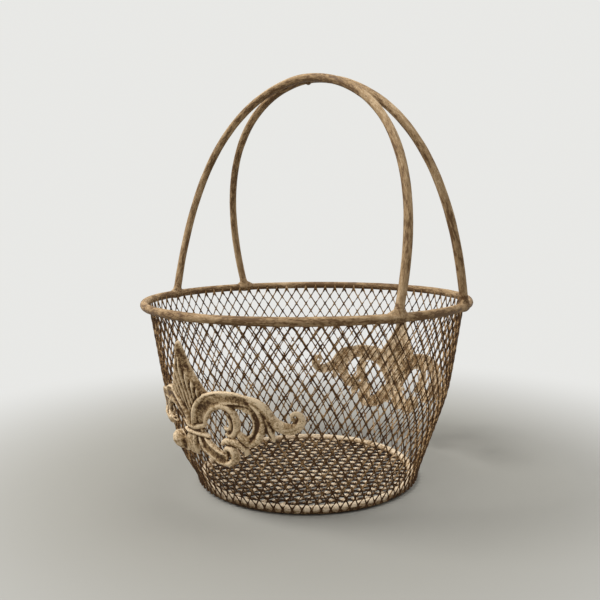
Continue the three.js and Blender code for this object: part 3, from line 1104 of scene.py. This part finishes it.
SCROLLS = (
    # Raised edge that runs up from the waist, and a lower one along the top of the great scroll
    Band(ROLL, 6.2, (
        (2, 5, 2.6), (3, 9.4, 2.7), (4.8, 14.4, 2.8), (7.4, 18.9, 2.8), (10.6, 22.9, 2.7),
        (14.6, 26.6, 2.4), (19.4, 29.8, 1.8), (24.5, 31.6, 0.8),
    )),
    Band(ROLL, 4.2, (
        (17, 27.6, 1), (21.5, 30.4, 1.4), (27, 32, 1.3), (35, 33, 1.1), (43, 33, 1), (50, 31.4, 0.8),
    )),
    # Great scroll: a broad hollow, then a roll out to its curl
    Band(HOLLOW, 3.9, (
        (8.4, 5.5, 3), (10, 10.5, 4.2), (13, 16, 5), (18, 21.4, 5.2), (25, 25.6, 4.8), (32.5, 28.2, 4.4),
        (40, 29.2, 4.2), (47.5, 28.8, 4), (54, 27, 3.6),
    )),
    Band(ROLL, 4.4, (
        (47, 30.6, 2), (55, 28.4, 3.3), (60, 25.6, 3.8), (63.4, 22, 4), (67.4, 16, 4.2),
        (72.4, 11.8, 4.4), (78, 9.6, 4.4), (83.6, 10, 3.8), (87.8, 13.8, 3.1), (87.8, 18.6, 2.6),
        (84.8, 20.8, 2.1), (81.8, 19.8, 1.6), (81.2, 17.6, 1.1),
    )),
    Band(PLATE, 0.9, ((82.5, 14.5, 3), (84.5, 17.5, 3))),
    # Inner roll round the first piercing, and the inner edge of its volute
    Band(ROLL, 4.3, (
        (14.4, 11, 1.5), (17, 16, 2), (21.6, 20, 2.4), (27.2, 22.2, 2.6), (33, 22.6, 2.7),
        (37.6, 20.6, 2.8), (40.2, 16.6, 2.9), (41, 12, 2.9), (40.4, 7, 2.7), (37.6, 2.6, 2.2),
        (33.4, 0.6, 1.7), (29.6, 1.8, 1.1),
    )),
    Band(ROLL, 3.4, (
        (33.4, 15.4, 0.6), (35.4, 12.6, 1.1), (35.8, 9.2, 1.2), (34.2, 6.4, 1.2), (31.6, 6, 1.1),
        (30.2, 8, 0.8),
    )),
    Band(PLATE, 1.2, ((34, 17.5, 1.4), (37.6, 13.6, 1.7), (38, 8, 1.9), (35, 3.8, 1.8), (31, 3.6, 1.4))),
    # Web between the scroll and the roll
    Band(PLATE, 1.7, (
        (8.5, 12.5, 3), (17, 21, 3.8), (28, 25.6, 4.2), (38, 26, 4.2), (48, 25.6, 4.2), (56, 21.5, 3.8),
    )),
    # Rim of the outer piercing
    Band(ROLL, 3.2, (
        (44.6, 25, 0.9), (49.6, 23.2, 1.1), (53, 18.6, 1.2), (54.6, 12.6, 1.2), (53.4, 6, 1.3),
        (50, 1.6, 1.6), (46, 0.4, 1.7), (42.6, 2.2, 1.4),
    )),
    # Two lobes of leaf outside it, and the web under them
    Band(ROLL, 4.8, (
        (53, 27, 1.8), (57.6, 23, 2.3), (60.4, 17.8, 2.5), (61.4, 13, 2.6), (60.4, 8, 2.7),
        (58.2, 3.3, 2.7), (54.3, -1.1, 2.5), (49, -3.6, 2.2), (44, -4, 1.4),
    )),
    Band(ROLL, 4.4, (
        (63, 18.6, 1.5), (64.8, 12.9, 1.9), (66.6, 7, 1.9), (68, 2.8, 1.5), (68.4, -0.6, 0.7),
    )),
    Band(PLATE, 1.6, (
        (48, 24, 4), (56.5, 20, 4), (58.5, 12, 4), (56.5, 3, 4), (51, -2, 4), (44, -2, 3.4),
    )),
    Band(PLATE, 2.2, ((61, 23, 5), (65, 15, 5), (66, 7, 3.6), (67, 1, 1.6))),
    # Lobe under the outer piercing
    Band(ROLL, 4.4, ((40.5, 5, 2.2), (44, 1, 3.6), (49, -1.6, 3.8), (53, -1, 2.4))),
)
CURLS = (
    # Right lower scroll: a broad hollow and its edge
    Band(HOLLOW, 4.8, (
        (6.5, -3.5, 3.6), (10.5, -9, 5), (16, -13.4, 5.2), (22.5, -16.4, 4.6), (28.5, -17.4, 3.6),
    )),
    Band(ROLL, 4.8, (
        (4.4, -4, 1.3), (6.2, -10, 1.4), (10.4, -15.6, 1.6), (16, -19, 1.7), (22.4, -21, 1.9),
        (29, -21, 1.6),
    )),
    # Its curl, the back of its eye, and the lip over it
    Band(ROLL, 6.6, (
        (22.4, -21, 1.9), (29, -21, 2.2), (34.4, -18.2, 2.8), (36.8, -13.8, 3.2), (35.4, -9.8, 3),
        (31.6, -8.6, 2.5), (28.6, -10.4, 1.9), (28.2, -13, 1.3),
    )),
    Band(PLATE, 1, ((27, -13, 3), (32, -13.5, 3))),
    Band(ROLL, 4.6, (
        (24.6, -7, 1.4), (28, -4.6, 2.4), (33, -3.4, 3), (38, -3.8, 3.2), (43, -6.2, 3), (46, -9.6, 2.4),
        (44.6, -13, 1.2),
    )),
    # The left one ends in a full ball
    Band(PLATE, 2.6, (
        (-6.5, -3.5, 3.6), (-10.5, -9, 4.6), (-16, -14, 4.4), (-22.5, -18, 3.6), (-28.5, -19, 2.4),
    )),
    Band(ROLL, 9.4, (
        (-25.2, -19.8, 3.4), (-26, -17, 5.8), (-27.2, -13, 6.8), (-28.4, -9, 5.8), (-29.2, -6.2, 3.4),
    )),
)
MIDDLE = (
    # Waist band: two bars on a collar
    Band(ROLL, 5.8, (
        (-11.6, 6.2, 1.6), (-5.8, 4.2, 2.6), (0, 3.4, 2.9), (5.8, 4, 2.6), (11.2, 5.8, 1.6),
    )),
    Band(ROLL, 5.4, (
        (-14.4, -1.4, 1.2), (-7, -1.5, 2.1), (0, -1.5, 2.2), (7, -1.7, 2.1), (14.4, -2.8, 1.2),
    )),
    Band(PLATE, 3.2, ((-9, 1, 3.4), (0, 1, 3.4), (9, 1, 3.4))),
    # Bud under it: a leaf to the left, a keel and a spur
    Band(ROLL, 4.4, ((-7, -4, 4.2), (-10, -11, 5.4), (-11.5, -20, 3))),
    Band(ROLL, 5.2, ((-0.6, -3, 2.2), (-2.2, -8, 2.5), (-4, -14, 2.2), (-6.4, -20.5, 1))),
    Band(PLATE, 1.6, ((3, -3, 4), (4, -10, 4), (5, -16, 2.4))),
    Band(ROLL, 5.2, ((4.2, -4, 2), (6, -8.6, 2.6), (8.2, -14, 2.4), (10.4, -17.6, 1))),
)


@dataclass
class ScrollCasting:
    """Cast ornament: a fluted leaf over a waist band, with pierced scrolls to both sides.

    It is drawn flat in millimetres, and its leaf has half its width at each height.
    """

    form: WallForm = WallForm()
    waists: tuple[float, float] = (62 * MM, 55.5 * MM)
    face_radius: float = 119 * MM
    voxel: float = 0.46 * MM
    leaf_widths: tuple[tuple[float, float], ...] = (
        (4, 2.6), (10, 3.6), (15, 5.2), (20, 8.4), (24, 12), (28, 16.6), (30, 19), (32, 18.6),
        (36, 15.6), (42, 11.6), (49, 7.9), (56, 5.4), (61.5, 3.6), (65, 2.1), (66.8, 0.4),
    )
    leaf_columns: int = 110
    leaf_rows: int = 130
    leaf_edge: float = 1.2
    leaf_shoulder: float = 7.5
    # Heights up the leaf, with its rise over the edge and the width of its plain border at each
    leaf_rise: tuple[tuple[float, float], ...] = ((14, 44), (1.5, 5.2))
    leaf_border: tuple[tuple[float, float], ...] = ((26.4, 36), (1.68, 4.2))
    flute_pitch: float = 3.8
    flute_level: float = 30.0
    flute_spread: float = 90.0
    flute_depth: float = 2.9
    flute_sunk: float = 1.7
    flute_edge: float = 1.5
    flute_sharpness: float = 1.2
    # Painted shade on the leaf's plain flanks and in the left great scroll's hollow, with the limits
    # between which it sets in across, up and out
    flank_shade: float = 0.22
    flank_up: tuple[float, float] = (30, 31)
    hollow_shade: float = 0.25
    hollow_inner: tuple[float, float] = (-4, -8)
    hollow_outer: tuple[float, float] = (-40, -20)
    hollow_beside: tuple[float, float] = (0, -3)
    hollow_up: tuple[float, float] = (3, 7)
    hollow_out: tuple[float, float] = (4, 2)
    # The relief thins out towards the ends, on the left more so the higher up
    thin_from: float = 20 * MM
    thin_to: float = 50 * MM
    right_thinned: float = 0.2
    left_thinned: tuple[tuple[float, float], ...] = ((2.8 * MM, 14 * MM), (0.216, 0.72))
    # How far the left great scroll of the front and of the back casting hangs low
    droops: tuple[float, float] = (9.5 * MM, 0.0)
    droop_from: float = 16 * MM
    droop_full: float = 42 * MM
    droop_height: float = 15 * MM

    def build(self, finishes: Sequence[Finish]) -> None:
        """Models the casting flat, then sets one on the front and one on the back of the wall.

        Args:
            finishes: materials of the front and the back casting.
        """
        bodies = [self._leaf()]
        bodies += [band.build(Side.RIGHT) for band in MIDDLE + CURLS]
        for side in Side:
            bodies += [band.build(side) for band in SCROLLS]
        front = join(bodies)
        front.name = "front_casting"
        fuse(front, self.voxel, rounds=3)
        roughen(front, grain=2.2 * MM, depth=0.28 * MM)
        points = points_of(front)
        points[:, 2] = np.maximum(points[:, 2], 0)
        place_points(front, points)
        # Ridges keep pale paint and grooves lose it; the bias adds painted shade on the leaf's flanks and
        # in the left scroll's hollow
        mark_ridges(front, rounds=20, height=0.5 * MM, bias=self._painted_shade(points / MM))
        select_only(front)
        bpy.ops.object.duplicate()
        pairs = zip((front, bpy.context.object), ("front", "back"), finishes)
        for turn, (casting, place, finish) in enumerate(pairs):
            self._wrap(casting, self.form.casting_axes[turn], self.waists[turn], self.droops[turn])
            dress(casting, f"{place}_casting", finish, "casting", f"ornament_{place}")

    def _leaf(self) -> Thing:
        """Fluted leaf, raised from a grid and closed at its back.

        Returns:
            The leaf as a mesh, drawn flat in metres.
        """
        bpy.ops.object.select_all(action="DESELECT")
        bpy.ops.mesh.primitive_grid_add(
            x_subdivisions=self.leaf_columns, y_subdivisions=self.leaf_rows, size=2
        )
        leaf = bpy.context.object
        grid = points_of(leaf)
        heights, halves = np.array(self.leaf_widths).T
        up = heights[0] + (grid[:, 1] + 1) / 2 * (heights[-1] - heights[0])
        half = np.interp(up, heights, halves)
        across = grid[:, 0] * half
        inward = half - np.abs(across)
        slope = share(inward, 0, self.leaf_shoulder)
        border = np.interp(up, *self.leaf_border)
        inside = share(inward, border, border + self.flute_edge)
        spread = (up - self.flute_level + self.flute_spread) / self.flute_spread
        ripple = np.abs(np.sin(math.pi * across / self.flute_pitch / spread)) ** self.flute_sharpness
        flutes = inside * (self.flute_depth * ripple - self.flute_sunk)
        out = self.leaf_edge + np.interp(up, *self.leaf_rise) * (1 - (1 - slope) ** 2) + flutes
        place_points(leaf, np.c_[across, up, out] * MM)
        with editing(leaf, Part.FACE):
            bpy.ops.mesh.extrude_region_move()
        points = points_of(leaf)
        back = read(leaf.data.vertices, "select", 1, bool)[:, 0]
        points[back, 2] = 0
        place_points(leaf, points)
        merge_points(leaf, 0.001 * MM)
        return leaf

    def _painted_shade(self, flat: Array) -> Array:
        """Painted shade on the leaf's plain flanks and in the left great scroll's hollow.

        Args:
            flat: points of the casting drawn flat, in millimetres.

        Returns:
            Darkening at each point, as painted shade.
        """
        across, up, out = flat.T
        inward = np.interp(up, *np.array(self.leaf_widths).T, right=0) - np.abs(across)
        border = self.leaf_border[1][1]
        flank = share(inward, border + 1, border) * share(inward, -0.5, 0.5) * share(up, *self.flank_up)
        left = share(across, *self.hollow_inner) * share(across, *self.hollow_outer)
        low = share(out, *self.hollow_out) * share(up, *self.hollow_up)
        hollow = left * share(inward, *self.hollow_beside) * low
        return -self.flank_shade * flank - self.hollow_shade * hollow

    def _wrap(self, casting: Thing, axis: float, waist: float, droop: float) -> None:
        """Bends the flat casting round the wall, thinner towards its ends.

        Args:
            casting: casting drawn flat.
            axis: angle of its axis round the basket.
            waist: height of its waist.
            droop: how far its left great scroll hangs lower than the right one.
        """
        across, up, out = points_of(casting).T
        angle = axis + across / self.face_radius
        low = soft(share(-across, self.droop_from, self.droop_full)) * share(up, 0, self.droop_height)
        height = waist + up - droop * low
        outer = soft(share(np.abs(across), self.thin_from, self.thin_to))
        thinned = np.where(across < 0, np.interp(up, *self.left_thinned), self.right_thinned)
        radius = self.form.casting_back(height) + out * (1 - thinned * outer)
        place_points(casting, np.c_[radius * np.cos(angle), radius * np.sin(angle), height])


# Stage


@dataclass(frozen=True)
class PhotoView:
    """Camera at the photograph's view."""

    frame_px: float = 600.0
    focal_px: float = 708.05
    sensor_mm: float = 36.0
    distance: float = 0.57738
    height: float = 0.21090
    pitch: float = math.radians(6.41)
    yaw: float = math.radians(-0.503)
    roll: float = math.radians(-0.573)
    turn: float = math.radians(44.33)

    def build(self) -> None:
        """Places the camera."""
        ahead = Vector((
            math.sin(self.yaw) * math.cos(self.pitch),
            math.cos(self.yaw) * math.cos(self.pitch),
            -math.sin(self.pitch),
        ))
        right = Vector((math.cos(self.yaw), -math.sin(self.yaw), 0))
        up = right.cross(ahead)
        level, upright = math.cos(self.roll), math.sin(self.roll)
        axes = (level * right + upright * up, level * up - upright * right, -ahead)
        facing = Matrix(axes).transposed().to_4x4()
        data = bpy.data.cameras.new("camera")
        data.sensor_width = self.sensor_mm
        data.lens = self.focal_px / self.frame_px * self.sensor_mm
        data.clip_start = 0.01
        camera = put("camera", data)
        stand = Matrix.Translation((0, -self.distance, self.height))
        camera.matrix_world = Matrix.Rotation(self.turn, 4, "Z") @ stand @ facing
        bpy.context.scene.camera = camera


@dataclass(frozen=True)
class Softbox:
    """Large soft lamp."""

    name: str
    place: Place
    target: Place
    size: float
    power: float

    def build(self) -> None:
        """Hangs the lamp."""
        data = bpy.data.lights.new(self.name, "AREA")
        data.shape = "DISK"
        data.size = self.size
        data.energy = self.power
        lamp = put(self.name, data)
        lamp.location = self.place
        lamp.rotation_mode = "QUATERNION"
        lamp.rotation_quaternion = (Vector(self.target) - Vector(self.place)).to_track_quat("-Z", "Y")


@dataclass(frozen=True)
class Studio:
    """Pale floor that runs out into a pale background, with soft light from above."""

    floor_radius: float = 4.0
    near: Colour = (0.36, 0.35, 0.315, 1.0)
    far: Colour = (0.81, 0.81, 0.79, 1.0)
    fade_from: float = 0.16
    fade_to: float = 0.50
    fill: float = 0.45
    lamps: tuple[Softbox, ...] = (
        Softbox("overhead", (0.15, 0.25, 1.5), (0, 0, 0.1), 1.2, 9.0),
        Softbox("key", (-0.62, -0.85, 1.35), (0, 0, 0.12), 0.7, 19.0),
    )

    def build(self) -> None:
        """Sets the floor, the surroundings, the lamps and the camera."""
        self._floor()
        self._surroundings()
        for lamp in self.lamps:
            lamp.build()
        PhotoView().build()
        bpy.context.scene.view_settings.view_transform = "Standard"

    def _floor(self) -> None:
        """Lays the floor, which fades into the background where it is seen."""
        bpy.ops.object.select_all(action="DESELECT")
        bpy.ops.mesh.primitive_circle_add(vertices=128, radius=self.floor_radius, fill_type="NGON")
        floor = bpy.context.object
        floor.name = "floor"
        material = bpy.data.materials.new("pale floor")
        board = NodeBoard.cleared(material)
        place = board.node("ShaderNodeTexCoord").outputs["Object"]
        away = board.node("ShaderNodeVectorMath", {0: place}, operation="LENGTH").outputs["Value"]
        faded = board.math("MULTIPLY", board.ramp(away, self.fade_from, self.fade_to), board.seen())
        matt = board.node("ShaderNodeBsdfDiffuse", {"Color": self.near})
        plain = board.node("ShaderNodeEmission", {"Color": self.far, "Strength": 1.0})
        shader = board.node("ShaderNodeMixShader", {0: faded, 1: matt.outputs[0], 2: plain.outputs[0]})
        board.node("ShaderNodeOutputMaterial", {"Surface": shader.outputs[0]})
        floor.data.materials.append(material)

    def _surroundings(self) -> None:
        """Sets a pale background, and a soft even light from all round."""
        world = bpy.data.worlds.new("studio")
        bpy.context.scene.world = world
        board = NodeBoard.cleared(world)
        even = board.node("ShaderNodeBackground", {"Color": (1, 1, 1, 1), "Strength": self.fill})
        pale = board.node("ShaderNodeBackground", {"Color": self.far, "Strength": 1.0})
        mixed = board.node("ShaderNodeMixShader", {0: board.seen(), 1: even.outputs[0], 2: pale.outputs[0]})
        board.node("ShaderNodeOutputWorld", {"Surface": mixed.outputs[0]})


ROD_PAINT = PaintWearAndLight(
    "worn rod paint",
    bare=(0.145, 0.078, 0.031, 1),
    paint=(0.375, 0.245, 0.125, 1),
    chalk=(0.58, 0.42, 0.25, 1),
    flowing=True,
    cover=0.12,
    top=0.22,
)
RIM_PAINT = replace(ROD_PAINT, name="worn rim paint", cover=-0.04, top=0.12)
# Painted light: the foot ring's pale paint is brighter and kept on its top, as painted highlight, and its
# bare metal darker, as painted shade below
FOOT_PAINT_AND_LIGHT = replace(
    ROD_PAINT,
    name="worn foot paint with painted light",
    bare=(0.05, 0.023, 0.008, 1),
    chalk=(0.8, 0.65, 0.46, 1),
    grain=130,
    top=0.5,
)
MESH_PAINT = PaintWearAndLight(
    "worn mesh paint",
    bare=(0.068, 0.029, 0.008, 1),
    paint=(0.34, 0.198, 0.080, 1),
    chalk=(0.76, 0.57, 0.35, 1),
    grain=120,
    cover=-0.12,
    top=0.35,
    edge=0.3,
    bump=0.15 * MM,
)
# Painted light: the base's bonds and tops get bright pale paint, as painted highlight, and its bare sides
# are near black, as painted shade
BASE_PAINT_AND_LIGHT = replace(
    MESH_PAINT,
    name="worn base paint with painted light",
    bare=(0.032, 0.014, 0.005, 1),
    paint=(0.26, 0.155, 0.07, 1),
    chalk=(0.88, 0.72, 0.52, 1),
    cover=-0.24,
    top=0.8,
    edge=0.75,
)
CAST_PAINT = PaintWearAndLight(
    "worn casting paint",
    bare=(0.080, 0.036, 0.012, 1),
    paint=(0.375, 0.245, 0.118, 1),
    chalk=(0.86, 0.67, 0.44, 1),
    grain=80,
    cover=0.13,
    top=0.1,
    edge=0.66,
)
# Painted light: the back casting is a lighter copy of the casting paint, with more pale paint, standing in
# for light that falls on it through the mesh
LIT_BACK_CAST_PAINT = replace(CAST_PAINT, name="worn back casting paint with painted light", cover=0.36)
WELD_PAINT = replace(ROD_PAINT, name="worn weld paint", flowing=False, cover=0.02)


def main() -> None:
    """Builds the basket and its stage."""
    logging.basicConfig(level=logging.INFO, format="%(name)s: %(message)s")
    form = WallForm()
    RodRing("rim_rod", "rim_ring", form.rim_radius, form.rim_height).build(RIM_PAINT.material())
    RodRing("foot_rod", "foot_ring", form.foot_ring_radius, form.rod_radius).build(FOOT_PAINT_AND_LIGHT.material())
    WallMesh().build(MESH_PAINT.material())
    BaseMesh().build(BASE_PAINT_AND_LIGHT.material())
    ArchHandles().build(ROD_PAINT.material(), WELD_PAINT.material())
    ScrollCasting().build([CAST_PAINT.material(), LIT_BACK_CAST_PAINT.material()])
    Studio().build()


if __name__ == "__main__":
    main()
